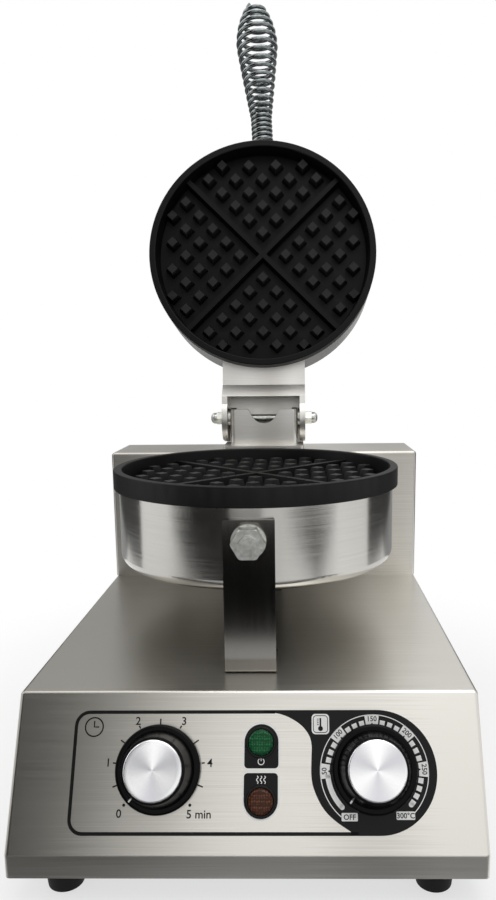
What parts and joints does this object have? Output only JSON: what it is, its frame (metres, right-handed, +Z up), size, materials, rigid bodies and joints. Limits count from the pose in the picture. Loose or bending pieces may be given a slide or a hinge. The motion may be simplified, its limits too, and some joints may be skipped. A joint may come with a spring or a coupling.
{
  "type": "waffle maker",
  "caption": "Round waffle maker for counter use: steel casing with sloped dial panel, lower plate in a raised pot, hinged lid plate standing open, coiled wire handle.",
  "frame": {"origin": "on the table, under the middle of the overall box with the lid open", "axes": "+Z up, +Y from the dial panel to the back, +X to the right seen from the front"},
  "size_m": [0.25, 0.3857, 0.5899],
  "materials": {
    "casing_steel": "brushed stainless, grain left to right",
    "cover_steel": "galvanised sheet",
    "pot_steel": "spun stainless, satin",
    "bracket_steel": "brushed stainless plate",
    "strip_steel": "polished stainless bar",
    "fastener_steel": "bright zinc",
    "cast_plate": "cast, black non-stick coating",
    "spring_chrome": "chromed spring wire",
    "heater_sheath": "dark oxide",
    "clamp_steel": "galvanised",
    "fibre_pad": "ceramic fibre",
    "bulb_copper": "copper",
    "foot_rubber": "matte",
    "knob_plastic": "glossy phenolic",
    "cap_aluminium": "spun, fine circles",
    "unit_plastic": "matte",
    "gland_plastic": "matte nylon",
    "block_plastic": "matte ceramic look",
    "bezel_plastic": "glossy",
    "lens_green": "clear tinted",
    "lens_amber": "clear tinted"
  },
  "bodies": {
    "base": {"casing": "casing_steel", "rear_box": "casing_steel", "rear_cover": "cover_steel", "cover_screws": "fastener_steel", "base_plate": "cover_steel", "base_screws": "fastener_steel", "foot_front_left": "foot_rubber", "foot_front_right": "foot_rubber", "foot_rear_left": "foot_rubber", "foot_rear_right": "foot_rubber", "foot_screws": "fastener_steel", "cable_gland": "gland_plastic", "gland_nut": "gland_plastic", "terminal_block": "block_plastic", "lower_plate": "cast_plate", "lower_shell": "pot_steel", "lower_heater": "heater_sheath", "lower_clamp_plate": "clamp_steel", "lower_clamp_screws": "fastener_steel", "lower_insulation": "fibre_pad", "thermostat_bulb": "bulb_copper", "front_strip": "strip_steel", "rear_strip": "strip_steel", "strip_bolts": "fastener_steel", "strip_washers": "fastener_steel", "strip_nuts": "fastener_steel", "strip_foot_screws": "fastener_steel", "lead_conduit": "strip_steel", "hinge_base": "bracket_steel", "hinge_screws": "fastener_steel", "timer_body": "unit_plastic", "timer_nut": "fastener_steel", "thermostat_body": "unit_plastic", "thermostat_nut": "fastener_steel", "power_lamp_bezel": "bezel_plastic", "power_lamp_lens": "lens_green", "power_lamp_body": "unit_plastic", "heat_lamp_bezel": "bezel_plastic", "heat_lamp_lens": "lens_amber", "heat_lamp_body": "unit_plastic"},
    "lid": {"upper_plate": "cast_plate", "lid_shell": "pot_steel", "upper_heater": "heater_sheath", "upper_clamp_plate": "clamp_steel", "upper_clamp_screws": "fastener_steel", "upper_insulation": "fibre_pad", "lid_bracket": "bracket_steel", "hinge_pin": "fastener_steel", "cap_nuts": "fastener_steel", "hinge_washers": "fastener_steel", "handle_stud": "fastener_steel", "handle_nut": "fastener_steel", "handle_coil": "spring_chrome"},
    "timer_dial": {"timer_knob": "knob_plastic", "timer_knob_cap": "cap_aluminium", "timer_shaft": "fastener_steel"},
    "thermostat_dial": {"thermostat_knob": "knob_plastic", "thermostat_knob_cap": "cap_aluminium", "thermostat_shaft": "fastener_steel"}
  },
  "joints": [
    {"name": "lid_hinge", "type": "hinge", "parent": "base", "child": "lid", "pos_m": [0, 0.1017, 0.2323], "axis": [1, 0, 0], "range_deg": [0, 100.7]},
    {"name": "timer_turn", "type": "hinge", "parent": "base", "child": "timer_dial", "pos_m": [-0.047, -0.16934, 0.06725], "axis": [0, 0.8902, -0.4556], "range_deg": [0, 276]},
    {"name": "thermostat_turn", "type": "hinge", "parent": "base", "child": "thermostat_dial", "pos_m": [0.067, -0.16934, 0.06725], "axis": [0, 0.8902, -0.4556], "range_deg": [0, 282]}
  ]
}
